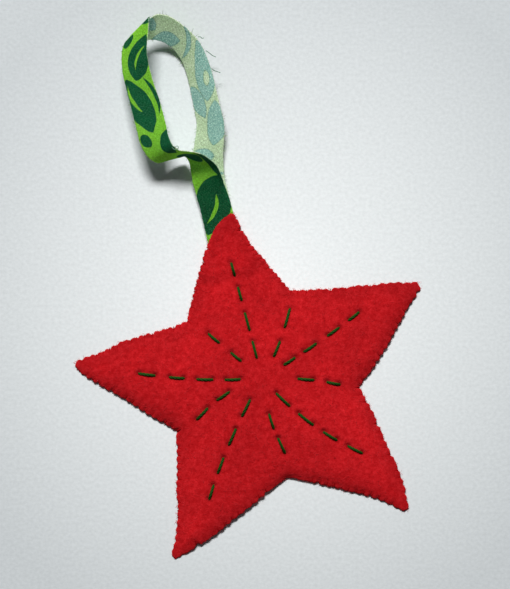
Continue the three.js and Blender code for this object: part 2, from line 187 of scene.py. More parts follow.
def smooth_line(points, steps, power=0.5):
    """Points along a Catmull-Rom curve; power 0.5 spaces its knots by the root of the distance."""
    ends = [2 * points[0] - points[1], *points, 2 * points[-1] - points[-2]]
    line = []
    for p0, p1, p2, p3 in zip(ends, ends[1:], ends[2:], ends[3:]):
        gaps = [max((b - a).length, 1e-9) ** power for a, b in ((p0, p1), (p1, p2), (p2, p3))]
        enter = (p1 - p0) / gaps[0] - (p2 - p0) / (gaps[0] + gaps[1]) + (p2 - p1) / gaps[1]
        leave = (p2 - p1) / gaps[1] - (p3 - p1) / (gaps[1] + gaps[2]) + (p3 - p2) / gaps[2]
        enter, leave = enter * gaps[1], leave * gaps[1]
        for k in range(steps):
            t = k / steps
            line.append(
                p1 * (2 * t**3 - 3 * t**2 + 1) + enter * (t**3 - 2 * t**2 + t)
                + p2 * (3 * t**2 - 2 * t**3) + leave * (t**3 - t**2)
            )
    line.append(points[-1].copy())
    return line


def evenly_spaced(line, count):
    """The line cut into count equal steps, its last point left out."""
    lengths = np.cumsum([0] + [(b - a).length for a, b in zip(line, line[1:])])
    wanted = np.linspace(0, lengths[-1], count, endpoint=False)
    axes = [np.interp(wanted, lengths, [point[axis] for point in line]) for axis in range(3)]
    return [Vector(place) for place in zip(*axes)]


rim_line = []
for index, side in enumerate(side_shares):
    corner = side_shares[(index + 1) % len(side_shares)][0]
    knots = [polar_point(*pair) for pair in [*side, corner]]
    side_line = smooth_line(knots, curve_steps)
    rim_line += evenly_spaced(side_line, stitches_per_side * samples_per_stitch)
rim_count = len(rim_line)
rim_outward = []
for index in range(rim_count):
    along = rim_line[(index + 2) % rim_count] - rim_line[index - 2]
    rim_outward.append(Vector((along.y, -along.x, 0)).normalized())
rim_tree = kdtree.KDTree(rim_count)
for index, point in enumerate(rim_line):
    rim_tree.insert(point, index)
rim_tree.balance()
rim_length = sum((rim_line[i] - rim_line[i - 1]).length for i in range(rim_count))
stitch_pitch = rim_length / (rim_count / samples_per_stitch)

# Stuffed shape: the pouch of two felts is blown up by the filling. A thin pouch over the outline
# is pinned along its rim and swelled by a cloth simulation, and its front is read as heights.
pouch_thickness = 0.0024
pouch_voxel = 0.0018
pouch_margin = 0.002
pinned_width = 0.0009
pouch_pressure = 40
pouch_stretch_stiffness = 3
pouch_bending_stiffness = 0.2
pouch_frames = 20
pouch_smoothing = 2
light_filling = 0.88
front_crown = 0.0045
back_crown = 0.0005


def apply_modifier(kind, **settings):
    """Adds a modifier to the active object, sets it and applies it."""
    bpy.ops.object.modifier_add(type=kind)
    modifier = bpy.context.object.modifiers[-1]
    for setting, value in settings.items():
        setattr(modifier, setting, value)
    bpy.ops.object.modifier_apply(modifier=modifier.name)


def star_slab(name, thickness, voxel, margin=0):
    """A flat slab over the star outline, its underside at height 0, in even square faces."""
    step = samples_per_stitch // 4
    ring = [rim_line[i] + rim_outward[i] * margin for i in range(0, rim_count, step)]
    bpy.ops.object.select_all(action="DESELECT")
    bpy.ops.mesh.primitive_circle_add(vertices=len(ring), radius=arm_reach, fill_type="NGON")
    slab = bpy.context.object
    slab.name = name
    for vertex, place in zip(slab.data.vertices, ring):
        vertex.co = place
    bpy.ops.object.mode_set(mode="EDIT")
    bpy.ops.mesh.select_all(action="SELECT")
    bpy.ops.mesh.extrude_region_move(TRANSFORM_OT_translate={"value": (0, 0, thickness)})
    bpy.ops.mesh.select_all(action="SELECT")
    bpy.ops.mesh.normals_make_consistent(inside=False)
    bpy.ops.object.mode_set(mode="OBJECT")
    apply_modifier("REMESH", mode="VOXEL", voxel_size=voxel)
    return slab


def rim_place(x, y):
    """How far a point lies inside the smooth rim, and the nearest rim sample."""
    found, index, distance = rim_tree.find(Vector((x, y, 0)))
    inward = (found - Vector((x, y, 0))).dot(rim_outward[index])
    return (distance if inward >= 0 else -distance), index


pouch = star_slab("pouch", pouch_thickness, pouch_voxel, pouch_margin)
pins = pouch.vertex_groups.new(name="rim")
for vertex in pouch.data.vertices:
    if rim_place(vertex.co.x, vertex.co.y)[0] < pinned_width - pouch_margin:
        pins.add([vertex.index], 1, "REPLACE")
bpy.ops.object.modifier_add(type="CLOTH")
cloth = pouch.modifiers[-1]
cloth.settings.use_pressure = True
cloth.settings.uniform_pressure_force = pouch_pressure
cloth.settings.effector_weights.gravity = 0
cloth.settings.vertex_group_mass = pins.name
cloth.settings.tension_stiffness = pouch_stretch_stiffness
cloth.settings.compression_stiffness = pouch_stretch_stiffness
cloth.settings.bending_stiffness = pouch_bending_stiffness
for number in range(1, pouch_frames + 1):
    bpy.context.scene.frame_set(number)
bpy.ops.object.modifier_apply(modifier=cloth.name)
bpy.context.scene.frame_set(1)
apply_modifier("SUBSURF", levels=pouch_smoothing, render_levels=pouch_smoothing)
pouch_tree = BVHTree.FromPolygons(
    [v.co.copy() for v in pouch.data.vertices], [list(p.vertices) for p in pouch.data.polygons]
)
pouch_rise = max(vertex.co.z for vertex in pouch.data.vertices) - pouch_thickness
bpy.data.objects.remove(pouch)


def swell(x, y):
    """0 at the rim to 1 at the crown, from the front face of the simulated pouch. The star is
    filled lightly, so it is a little fuller near its rims than the pouch."""
    hit = pouch_tree.ray_cast(Vector((x, y, 1)), Vector((0, 0, -1)))[0]
    if hit is None:
        return 0.0
    share = min(max((hit.z - pouch_thickness) / pouch_rise, 0), 1)
    return share ** light_filling


# Hanger root: the strip is sewn in at the edge of the top arm. Its two tails hold the felts
# apart there, one on each side of the seam.
felt_thickness = 0.0012
seam_gap = 0.0003
arm_droop = 0.0003
seam_lift = 0.0003
strip_width = 0.010
cloth_thickness = 0.00025
layer_offset = (seam_gap + cloth_thickness) / 2
tail_length = 0.016
mouth_lift = 0.00055
mouth_reach = (0.0025, 0.008)
root_share = 0.922
root_direction = 105.2
root_angle = math.radians(13)
root = polar_point(root_share, root_direction)
across_strip = Vector((math.cos(root_angle), math.sin(root_angle), 0))
up_strip = Vector((-across_strip.y, across_strip.x, 0))
mouth_opening = cloth_thickness
seam_at_centre = seam_lift + felt_thickness + seam_gap / 2


def smooth_step(value, low, high):
    t = min(max((value - low) / (high - low), 0), 1)
    return t * t * (3 - 2 * t)


def mouth_share(x, y):
    """1 round the tails of the strip, which hold the felts apart, and 0 elsewhere."""
    offset = Vector((x, y, 0)) - root
    beside = max(abs(offset.dot(across_strip)) - strip_width / 2, 0)
    beyond = max(-offset.dot(up_strip) - tail_length, 0)
    return 1 - smooth_step(math.hypot(beside, beyond), *mouth_reach)


def seam_height(x, y):
    droop = arm_droop * (math.hypot(x, y) / arm_reach) ** 3
    return seam_at_centre - droop + mouth_lift * mouth_share(x, y)


def half_opening(x, y):
    return seam_gap / 2 + mouth_opening * mouth_share(x, y)


# Running stitch: ten rays of dark green stranded cotton, each row giving the ray's direction at
# its inner and outer end in degrees, then its needle holes as shares of the arm's reach.
ray_shares = [
    [104.5, 105, [0.111, 0.200, 0.263, 0.357, 0.428, 0.499, 0.566, 0.633]],
    [61.5, 68, [0.132, 0.215, 0.295, 0.397]],
    [31, 34, [0.138, 0.205, 0.264, 0.341, 0.417, 0.490, 0.556, 0.624]],
    [-1, -5, [0.193, 0.276, 0.348, 0.417]],
    [-47, -37, [0.113, 0.209, 0.274, 0.370, 0.438, 0.519, 0.587, 0.670]],
    [-79, -73, [0.197, 0.277, 0.335, 0.419]],
    [-118.5, -113.5, [0.134, 0.229, 0.307, 0.398, 0.475, 0.560, 0.630, 0.706]],
    [-157, -147.5, [0.190, 0.266, 0.333, 0.412]],
    [-176.5, -182, [0.117, 0.195, 0.263, 0.346, 0.416, 0.493, 0.572, 0.659]],
    [141, 140.5, [0.144, 0.211, 0.295, 0.369]],
]
rays = []
for inner_angle, outer_angle, holes in ray_shares:
    steps = len(holes) - 1
    rays.append([
        polar_point(share, inner_angle + (outer_angle - inner_angle) * k / steps)
        for k, share in enumerate(holes)
    ])
stitch_spans = [(ray[k], ray[k + 1]) for ray in rays for k in range(0, len(ray), 2)]

# Felts: two stars of red wool-mix felt, 1.2 mm thick, matted and slightly hairy. Whip stitches
# pinch the rims together and leave a scallop between each two; the running stitch draws the
# front felt in along every stitch.
felt_voxel = 0.0007
rim_detail_width = 0.0032
stitch_detail_width = 0.0016
sheet_clearance = 0.0002
fibre_relief = 0.00022
clump_relief = 0.0005

# Rims: how the felts are scalloped between the stitches, thinned, rounded and pressed down.
scallop_depth = 0.00055
scallop_reach = 0.0022
lobe_share = 0.45
pull_share = 0.85
pull_spread_share = 1.5
wander_share = 0.5
notch_in_stitches = 0.3
rounding = 0.0022
edge_share = 0.29
slow_share = 0.48
slow_reach = 0.0088
mouth_edge_share = 0.42
rim_press = 0.0002
rim_press_reach = 0.0025
rest_press = 0.0004
curl_reach = 0.004

# Thread: the grooves under the whip stitches, and how the running stitch draws the felt in.
whip_length = 0.0021
whip_slant = 0.28
whip_groove_depth = 0.00009
whip_groove_width = 0.0005
draw_depth = 0.0005
draw_width = 0.0012
hole_depth = 0.0006
hole_width = 0.0010
sunk_share = 0.6

# Surface: how uneven the felt lies, and the painted shade that darkens its colour at the rims,
# along the running stitches and round their holes.
even_rim = 0.004
broad_lump = 0.011
broad_lump_height = 0.00022
small_lump = 0.0028
small_lump_height = 0.00007
# Painted shade: how much darker the felt's colour is painted at the rims and how far in, along the
# running stitches and round their holes.
rim_shade = 0.20
rim_shade_reach = 0.006
stitch_shade = 0.10
hole_shade = 0.30

# Places along the rim, in stitches from its first valley: the five tips with how much blunter
# each is than the outline, the stretches without whip stitches, and how far a side curls up.
tip_stitches = [stitches_per_side * side for side in (1, 3, 5, 7, 9)]
tip_fullness = [0.0013, 0.0005, 0.0008, 0.0010, 0.0009]
tip_in_stitches = 2.2
mouth_start = 3 * stitches_per_side
rolled_valley = 8 * stitches_per_side
bare_zones = [(mouth_start - 0.5, mouth_start + 5.2), (rolled_valley - 2, rolled_valley + 2.5)]
curled_sides = [(0, 0.0005), (5, 0.0002), (7, 0.0007)]


def sewn_share(stitch):
    """1 where whip stitches show, 0 at the tips, the mouth of the hanger and a rolled valley."""
    share = 1.0
    for low, high in bare_zones:
        share *= 1 - smooth_step(stitch, low - 1, low) * (1 - smooth_step(stitch, high, high + 1))
    for tip in tip_stitches:
        share *= smooth_step(abs(stitch - tip), 0.3, 0.9)
    return share


def bell(distance, width):
    return math.exp(-(distance / width) ** 2)


def scallop(index):
    """How far the rim stands out at a rim sample: round lobes between the stitches, each pulled
    in by its own amount, and blunt tips where the felt isn't sewn down."""
    stitch = index / samples_per_stitch
    nearest = round(stitch)
    pull = pull_share + pull_spread_share * noise.noise(Vector((nearest * 0.83, 3.1, 0)))
    lobe = lobe_share - max(0.1, pull) * bell(stitch - nearest, notch_in_stitches)
    wander = wander_share * noise.noise(Vector((stitch * 0.37, 8.7, 0)))
    blunt = sum(
        full * bell(stitch - tip, tip_in_stitches) for tip, full in zip(tip_stitches, tip_fullness)
    )
    return scallop_depth * (lobe * sewn_share(stitch) + wander) + blunt


def whip_groove(index, inside, slant):
    """Depth of the groove that the nearest slanted whip stitch presses into the felt."""
    place = index / samples_per_stitch * stitch_pitch - slant * inside
    distance = abs((place / stitch_pitch + 0.5) % 1 - 0.5) * stitch_pitch
    reach = 1 - smooth_step(inside, whip_length * 0.8, whip_length * 1.3)
    sewn = sewn_share(index / samples_per_stitch)
    return whip_groove_depth * reach * sewn * bell(distance, whip_groove_width)


def stitch_distance(place, start, end):
    span = end - start
    share = min(max((place - start).dot(span) / span.length_squared, 0), 1)
    return (place - start - span * share).length


def stitch_pull(x, y):
    """How hard the nearest running stitch and its holes pull at a point, each from 0 to 1."""
    place = Vector((x, y, 0))
    pull, hole_pull = 0.0, 0.0
    for start, end in stitch_spans:
        near = stitch_distance(place, start, end)
        if near < draw_width * 3:
            hole = min((place - start).length, (place - end).length)
            pull = max(pull, bell(near, draw_width))
            hole_pull = max(hole_pull, bell(hole, hole_width))
    return pull, hole_pull


def painted_shade_factor(x, y, front):
    """The painted shade on the felt's colour, as a factor: darker at the rims and, in front, along
    the running stitches and round their holes.
    """
    share = 1 - rim_shade * (1 - smooth_step(rim_place(x, y)[0], 0, rim_shade_reach))
    if front:
        pull, hole_pull = stitch_pull(x, y)
        share *= 1 - stitch_shade * pull - hole_shade * hole_pull
    return share


def lumps(x, y, inside, seed):
    """The uneven lie of stuffed felt: broad swells and small matted clumps, none at the rim."""
    broad = noise.noise(Vector((x / broad_lump, y / broad_lump, seed)))
    small = noise.noise(Vector((x / small_lump, y / small_lump, seed + 5)))
    height = broad_lump_height * broad + small_lump_height * small
    return smooth_step(inside, 0, even_rim) * height


def fullness(x, y, inside):
    """The felt's thickness as a share of the whole: pressed thin and rounded at the rim, fuller
    over the next 20 mm, and less pressed round the mouth of the hanger."""
    curve = math.sqrt(1 - (1 - min(inside / rounding, 1)) ** 2)
    sewn = edge_share + (1 - edge_share - slow_share) * curve
    sewn += slow_share * (1 - math.exp(-inside / slow_reach))
    held = mouth_edge_share + (1 - mouth_edge_share) * curve
    return sewn + (held - sewn) * mouth_share(x, y)


def rim_curl(index):
    """How far the rim stands off the table: three sides of the star curl up a little."""
    height = 0.0
    for side, lift in curled_sides:
        share = index / samples_per_stitch / stitches_per_side - side
        height += lift * smooth_step(share, 0, 0.25) * (1 - smooth_step(share, 0.75, 1))
    return height


def pressed(x, y, inside, index, rest):
    """How far a felt is pressed down: most at the rim, and by the given depth elsewhere."""
    depth = rest + (rim_press + rest_press - rest) * math.exp(-inside / rim_press_reach)
    return depth * (1 - mouth_share(x, y)) - rim_curl(index) * math.exp(-inside / curl_reach)


def front_surface(x, y):
    """Height of the front felt's inner face, and its thickness, at a point."""
    inside, index = rim_place(x, y)
    inside = max(inside, 0)
    thickness = felt_thickness * fullness(x, y, inside)
    level = seam_height(x, y) + half_opening(x, y) + front_crown * swell(x, y)
    level -= felt_thickness - thickness + pressed(x, y, inside, index, rest_press)
    pull, hole_pull = stitch_pull(x, y)
    draw = draw_depth * pull + hole_depth * hole_pull
    thickness -= whip_groove(index, inside, whip_slant) + draw * (1 - sunk_share)
    return level - draw * sunk_share, thickness + lumps(x, y, inside, 1)


def back_surface(x, y):
    """Height of the back felt's inner face, and its thickness, at a point."""
    inside, index = rim_place(x, y)
    inside = max(inside, 0)
    thickness = felt_thickness * fullness(x, y, inside)
    level = seam_height(x, y) - half_opening(x, y) - back_crown * swell(x, y)
    level = max(level, felt_thickness) - (felt_thickness - thickness)
    level -= pressed(x, y, inside, index, 0)
    thickness -= whip_groove(index, inside, -whip_slant)
    return level, thickness + lumps(x, y, inside, 9)


def scalloped_place(x, y):
    """A point moved with the scallops of the rim near it."""
    inside, index = rim_place(x, y)
    fade = 1 - smooth_step(inside, 0, scallop_reach)
    return Vector((x, y, 0)) + rim_outward[index] * scallop(index) * fade


def is_sewn(x, y, front):
    """Whether a point lies in the whipped rim or, in front, beside a running stitch."""
    if rim_place(x, y)[0] < rim_detail_width:
        return True
    place = Vector((x, y, 0))
    return front and any(
        stitch_distance(place, *span) < stitch_detail_width for span in stitch_spans
    )


def refine_outside(felt, front):
    """Splits the faces of a felt's outer side that carry stitches into four."""
    outer_level = felt_thickness if front else 0
    bpy.ops.object.mode_set(mode="EDIT")
    bpy.ops.mesh.select_mode(type="FACE")
    bpy.ops.mesh.select_all(action="DESELECT")
    bpy.ops.object.mode_set(mode="OBJECT")
    for face in felt.data.polygons:
        x, y, z = face.center
        face.select = abs(z - outer_level) < felt_thickness * 0.7 and is_sewn(x, y, front)
    bpy.ops.object.mode_set(mode="EDIT")
    bpy.ops.mesh.subdivide(number_cuts=1)
    bpy.ops.object.mode_set(mode="OBJECT")


def felt_material():
    """Wool-mix felt, matted and pressed: a dull, slightly hairy red, mottled by clumps of fibre
    about 2 mm across and by the fibres themselves, with painted shade at the rims and along the
    stitches."""
    material, add, place = new_material("wool_mix_felt")
    broad = add("TexNoise", {"Vector": place, "Scale": 90, "Detail": 2})
    clumps = add("TexNoise", {"Vector": place, "Scale": 620, "Detail": 4, "Roughness": 0.65})
    fibres = add(
        "TexNoise",
        {"Vector": place, "Scale": 1900, "Detail": 3, "Roughness": 0.75, "Distortion": 1.2},
    )
    clump_share = add("MapRange", {"Value": clumps, "From Min": 0.38, "From Max": 0.62})
    fibre_share = add("MapRange", {"Value": fibres, "From Min": 0.36, "From Max": 0.66})
    low, high = [
        add("Mix", {0: clump_share, 6: linear(dull), 7: linear(bright)}, data_type="RGBA")
        for dull, bright in (("#B10D13", "#C41218"), ("#CB1C22", "#DE2C33"))
    ]
    colour = add("Mix", {0: fibre_share, 6: low, 7: high}, data_type="RGBA")
    shade = add(
        "MapRange",
        {"Value": broad, "From Min": 0.35, "From Max": 0.7, "To Min": 0.90, "To Max": 1.07},
    )
    # Painted shade: the colour is darkened at the rims, along the running stitches and round their
    # holes.
    loose = add("Attribute", attribute_name="painted_shade_factor").outputs["Fac"]
    value = add("Math", {0: shade, 1: loose}, operation="MULTIPLY")
    toned = add("HueSaturation", {"Color": colour, "Value": value})
    bump_fibres = add("Bump", {"Height": fibres, "Strength": 0.45, "Distance": fibre_relief})
    bump_clumps = add(
        "Bump", {"Height": clumps, "Strength": 0.4, "Distance": clump_relief, "Normal": bump_fibres}
    )
    shader = add(
        "BsdfPrincipled",
        {"Base Color": toned, "Roughness": 0.95, "Diffuse Roughness": 1.0,
         "Specular IOR Level": 0.05, "Sheen Weight": 0.05, "Sheen Roughness": 0.6,
         "Sheen Tint": linear("#E8363C"), "Normal": bump_clumps},
    )
    add("OutputMaterial", {"Surface": shader})
    return material


red_felt = felt_material()


def make_felt(name, front):
    """One felt: a slab over the outline, refined where it is stitched, then laid to its shape."""
    felt = star_slab(name, felt_thickness, felt_voxel)
    refine_outside(felt, front)
    # Painted shade for each point of the felt: darker at the rims, along the running stitches and
    # round their holes.
    painted_shade_factors = []
    for vertex in felt.data.vertices:
        x, y, z = vertex.co
        painted_shade_factors.append(painted_shade_factor(x, y, front))
        share = min(max(z / felt_thickness, 0), 1)
        if front:
            level, thickness = front_surface(x, y)
            height = level + thickness * share
        else:
            level, thickness = back_surface(x, y)
            height = max(level - thickness * (1 - share), sheet_clearance * share)
        place = scalloped_place(x, y)
        vertex.co = (place.x, place.y, height)
    attribute = felt.data.attributes.new("painted_shade_factor", "FLOAT", "POINT")
    attribute.data.foreach_set("value", painted_shade_factors)
    felt.data.materials.append(red_felt)
    bpy.ops.object.shade_smooth()
    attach(felt, "star")
    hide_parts(name)
    felt.name = name + "_sewn"


make_felt("back_felt", False)
make_felt("front_felt", True)

# Filling: a wad of white polyester fibre inside the star, shrunk to 0.8 of the outline round its
# middle. Nothing of it shows while the seam is closed.
filling_share = 0.8
filling_slab = 0.004
filling_voxel = 0.002
filling_clearance = 0.0003
filling_room = 0.0020
least_filling = 0.0004
filling_relief = 0.0003


def filling_material():
    """Carded polyester fibre: white, matt, with loose strands about 0.3 mm apart."""
    material, add, place = new_material("polyester_fibre")
    strands = add("TexNoise", {"Vector": place, "Scale": 1500, "Detail": 4, "Distortion": 3})
    colour = add("Mix", {0: strands, 6: linear("#DEDACF"), 7: linear("#F6F4EE")}, data_type="RGBA")
    bump = add("Bump", {"Height": strands, "Strength": 0.8, "Distance": filling_relief})
    shader = add(
        "BsdfPrincipled",
        {"Base Color": colour, "Roughness": 1.0, "Sheen Weight": 0.3, "Normal": bump},
    )
    add("OutputMaterial", {"Surface": shader})
    return material


filling = star_slab("filling_wad", filling_slab, filling_voxel)
for vertex in filling.data.vertices:
    x, y = vertex.co.x * filling_share, vertex.co.y * filling_share
    share = min(max(vertex.co.z / filling_slab, 0), 1)
    below = seam_height(x, y) - half_opening(x, y) - back_crown * swell(x, y)
    below = max(below, felt_thickness) + filling_clearance
    above = seam_height(x, y) + half_opening(x, y) + front_crown * swell(x, y) - filling_room
    above = max(above, below + least_filling)
    vertex.co = (x, y, below + (above - below) * share)
filling.data.materials.append(filling_material())
bpy.ops.object.shade_smooth()
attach(filling, "star")
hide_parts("filling")

# Rim stitching: one length of red thread whipped over both felts all round the star, about
# 2.5 mm apart, sunk into the felt on both faces.
whip_radius = 0.00017
whip_sink_share = 0.7
whip_tuck = 0.0007
whip_step = 0.0006
whip_stray = 0.12
strand_relief = 0.00008


def tube_object(name, lines, radius, sides_resolution):
    """Tubes along lines of points, as one mesh with closed ends."""
    curve = bpy.data.curves.new(name, "CURVE")
    curve.dimensions = "3D"
    curve.bevel_depth = radius
    curve.bevel_resolution = sides_resolution
    curve.use_fill_caps = True
    for line in lines:
        spline = curve.splines.new("POLY")
        spline.points.add(len(line) - 1)
        for point, place in zip(spline.points, line):
            point.co = (*place, 1)
    tubes = bpy.data.objects.new(name, curve)
    bpy.context.collection.objects.link(tubes)
    bpy.ops.object.select_all(action="DESELECT")
    tubes.select_set(True)
    bpy.context.view_layer.objects.active = tubes
    bpy.ops.object.convert(target="MESH")
    bpy.ops.object.shade_smooth()
    return bpy.context.object


def evenly_divided(line, step):
    """A line of points cut into steps of about the given length, its ends kept."""
    total = sum((b - a).length for a, b in zip(line, line[1:]))
    count = max(round(total / step), 2)
    return [*evenly_spaced(line, count), line[-1].copy()]


def thread_material(name, dark, light, specular):
    """Spun cotton thread: fine strands with darker gaps, and as shiny as it was spun."""
    material, add, place = new_material(name)
    strands = add("TexNoise", {"Vector": place, "Scale": 5200, "Detail": 2, "Distortion": 0.6})
    colour = add("Mix", {0: strands, 6: linear(dark), 7: linear(light)}, data_type="RGBA")
    bump = add("Bump", {"Height": strands, "Strength": 0.5, "Distance": strand_relief})
    shader = add(
        "BsdfPrincipled",
        {"Base Color": colour, "Roughness": 0.7, "Specular IOR Level": specular, "Normal": bump},
    )
    add("OutputMaterial", {"Surface": shader})
    return material


def whip_line(stitch):
    """The line of one whip stitch: from its hole in the front felt, over the rim, to the back."""
    index = round(stitch * samples_per_stitch) % rim_count
    middle, outward = rim_line[index], rim_outward[index]
    along = Vector((-outward.y, outward.x, 0))
    sink = whip_radius * whip_sink_share

    def place(inside, height):
        spot = middle - outward * inside + along * (whip_slant * abs(inside))
        return Vector((spot.x, spot.y, height))

    def top(inside):
        level, thickness = front_surface(*place(inside, 0).xy)
        return level + thickness

    def bottom(inside):
        level, thickness = back_surface(*place(inside, 0).xy)
        return max(level - thickness, sheet_clearance)

    reaches = [whip_length * share for share in (1, 0.7, 0.35, 0.08)]
    hole = whip_length * 1.02
    points = [place(hole, top(whip_length) - whip_tuck)]
    points += [place(inside, top(inside) - sink) for inside in reaches]
    for share in (0.75, 0.5, 0.25):
        height = bottom(0) + (top(0) - bottom(0)) * share
        points.append(place(sink - scallop(index), height))
    points += [place(inside, bottom(inside) + sink * 0.6) for inside in reversed(reaches)]
    points.append(place(hole, bottom(whip_length) + whip_tuck))
    return smooth_line(points, 2)


whips = []
random.seed(4)
for stitch in range(rim_count // samples_per_stitch):
    if sewn_share(stitch) > 0.4:
        stray = random.uniform(-whip_stray, whip_stray)
        whips.append(evenly_divided(whip_line(stitch + stray), whip_step))
rim_stitching = tube_object("rim_stitching", whips, whip_radius, 0)
rim_stitching.data.materials.append(thread_material("red_sewing_thread", "#980A10", "#B20E14", 0))
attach(rim_stitching, "star")

# Ray threads: each ray is one length of three-ply floss, knotted under the front felt, that
# comes up and goes down through the felt and lies sunk into it along every stitch.
plies_per_thread = 3
ply_offset = 0.00023
ply_radius = 0.00026
ply_twist = 0.0036
thread_step = 0.0003
hole_sink = 0.0001
arch_start = 0.00014
arch_rise = 0.0002
float_depth = 0.0007
knot_setback = 0.002
knot_radius = 0.00042
knot_height = 0.00012
knot_turns = 2

green_thread = thread_material("green_floss", "#0E2E0C", "#265A16", 0.1)


def twisted_plies(line, start_turn):
    """Lines that wind round a centre line, one for each ply of a thread."""
    wound = [[] for _ in range(plies_per_thread)]
    side = None
    travelled = 0.0
    for k, point in enumerate(line):
        heading = (line[min(k + 1, len(line) - 1)] - line[max(k - 1, 0)]).normalized()
        if side is None:
            side = heading.orthogonal().normalized()
        side = (side - heading * side.dot(heading)).normalized()
        lift = heading.cross(side)
        if k:
            travelled += (point - line[k - 1]).length
        for ply in range(plies_per_thread):
            turn = start_turn + 2 * math.pi * (travelled / ply_twist + ply / plies_per_thread)
            out = side * ply_offset * math.cos(turn) + lift * ply_offset * math.sin(turn)
            wound[ply].append(point + out)
    return wound


def ray_line(holes):
    """The thread's line: knot, up, over, down, under the felt to the next hole, and a knot."""
    def under(point):
        return Vector((point.x, point.y, front_surface(point.x, point.y)[0] - float_depth))

    def over(point, height):
        level, thickness = front_surface(point.x, point.y)
        return Vector((point.x, point.y, level + thickness + height))

    points = []
    for first, last in zip(holes[::2], holes[1::2]):
        points += [under(first), over(first, -hole_sink)]
        for share in (0.14, 0.32, 0.5, 0.68, 0.86):
            arch = arch_start + arch_rise * math.sin(math.pi * share)
            points.append(over(first + (last - first) * share, arch))
        points += [over(last, -hole_sink), under(last)]
    first_knot = holes[0] + (holes[0] - holes[1]).normalized() * knot_setback
    last_knot = holes[-1] + (holes[-1] - holes[-2]).normalized() * knot_setback
    return [under(first_knot), *points, under(last_knot)]


def knot_line(end):
    """Two flat turns of thread round the end of a ray."""
    return [
        end + Vector((
            knot_radius * math.cos(turn), knot_radius * math.sin(turn),
            knot_height * math.sin(2 * turn),
        ))
        for turn in np.linspace(0, 2 * math.pi * knot_turns, 26)
    ]


for number, holes in enumerate(rays, start=1):
    line = evenly_divided(smooth_line(ray_line(holes), 4), thread_step)
    plies = [*twisted_plies(line, number), knot_line(line[0]), knot_line(line[-1])]
    thread = tube_object(f"ray_stitches_{number}", plies, ply_radius, 1)
    thread.data.materials.append(green_thread)
    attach(thread, "star")
    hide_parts(f"ray_thread_{number}")

# Hanger strip: a 10 mm strip torn from thin cotton printed in two greens, sewn in at both ends.
# It leaves the arm printed side up, turns on edge, runs up, is folded over at the top and comes
# back down with its pale wrong side up.
loop_length = 0.063
hinge_gap = 0.00048
fray_depth = 0.00012
fray_length = 0.0011
ripple_height = 0.00010
ripple_length = 0.005
weave_relief = 0.00008
cloth_glow = 0.001

# Stations of the strip's course: its middle as shares of the loop's length beside and above the
# root, its height as a share of the width, then the edge-to-edge line's direction in plan and
# its rise, in degrees.
station_shares = [
    [-0.017, 0.065, 0.25, 7, 1],
    [-0.032, 0.110, 0.29, 2, 2],
    [-0.044, 0.149, 0.38, -1, 6],
    [-0.054, 0.193, 0.50, -6, 15],
    [-0.068, 0.235, 0.61, -7, 27],
    [-0.089, 0.262, 0.70, -5, 41],
    [-0.120, 0.283, 0.76, 4, 57],
    [-0.161, 0.287, 0.79, 28, 72],
    [-0.201, 0.285, 0.83, 47, 72],
    [-0.231, 0.284, 0.94, 46, 59],
    [-0.256, 0.284, 1.08, 45, 45],
    [-0.281, 0.300, 1.15, 36, 33],
    [-0.301, 0.330, 1.17, 26, 26],
    [-0.316, 0.365, 1.17, 17, 21],
    [-0.327, 0.413, 1.15, 7, 18],
    [-0.344, 0.482, 1.13, 6, 17],
    [-0.364, 0.557, 1.11, 7, 20],
    [-0.386, 0.630, 1.09, 6, 25],
    [-0.404, 0.700, 1.09, 5, 28],
    [-0.414, 0.768, 1.10, 7, 33],
    [-0.414, 0.824, 1.11, 9, 36],
    [-0.404, 0.872, 1.10, 20, 36],
    [-0.391, 0.922, 1.05, 41, 33],
    [-0.387, 0.932, 0.95, 42, 33],
    [-0.383, 0.925, 0.86, 43, 33],
    [-0.360, 0.925, 0.78, 56, 35],
    [-0.326, 0.931, 0.77, 70, 37],
    [-0.285, 0.930, 0.75, 74, 37],
    [-0.240, 0.914, 0.68, 74, 37],
    [-0.196, 0.882, 0.56, 68, 37],
    [-0.159, 0.846, 0.46, 59, 35],
    [-0.127, 0.799, 0.39, 50, 33],
    [-0.102, 0.740, 0.35, 41, 33],
    [-0.081, 0.670, 0.33, 28, 35],
    [-0.063, 0.589, 0.32, 15, 36],
    [-0.046, 0.515, 0.31, 6, 34],
    [-0.034, 0.454, 0.28, 3, 29],
    [-0.033, 0.402, 0.24, 2, 24],
    [-0.040, 0.343, 0.19, 3, 18],
    [-0.045, 0.282, 0.14, 2, 12],
    [-0.044, 0.221, 0.11, 1, 6],
    [-0.037, 0.158, 0.10, 1, 3],
    [-0.026, 0.110, 0.12, 3, 1],
    [-0.016, 0.065, 0.145, 7, 0],
]
tail_depths = [*(tail_length * share for share in (1, 0.75, 0.5, 0.25)), hinge_gap]
station_steps = 12
strip_columns = 28
strip_rows = 560


def tail_stations(offset):
    stations = []
    for depth in tail_depths:
        middle = root - up_strip * depth
        middle.z = seam_height(middle.x, middle.y) + offset
        stations.append((middle, across_strip.copy()))
    return stations


def loop_station(x_share, y_share, z_share, plan, rise):
    plan, rise = math.radians(plan), math.radians(rise)
    middle = root + Vector((loop_length * x_share, loop_length * y_share, 0))
    middle.z = strip_width * z_share
    flat = math.cos(rise)
    return middle, Vector((math.cos(plan) * flat, math.sin(plan) * flat, math.sin(rise)))


def loop_end(offset):
    middle = root + up_strip * hinge_gap
    middle.z = seam_height(root.x, root.y) + offset
    return middle, across_strip.copy()


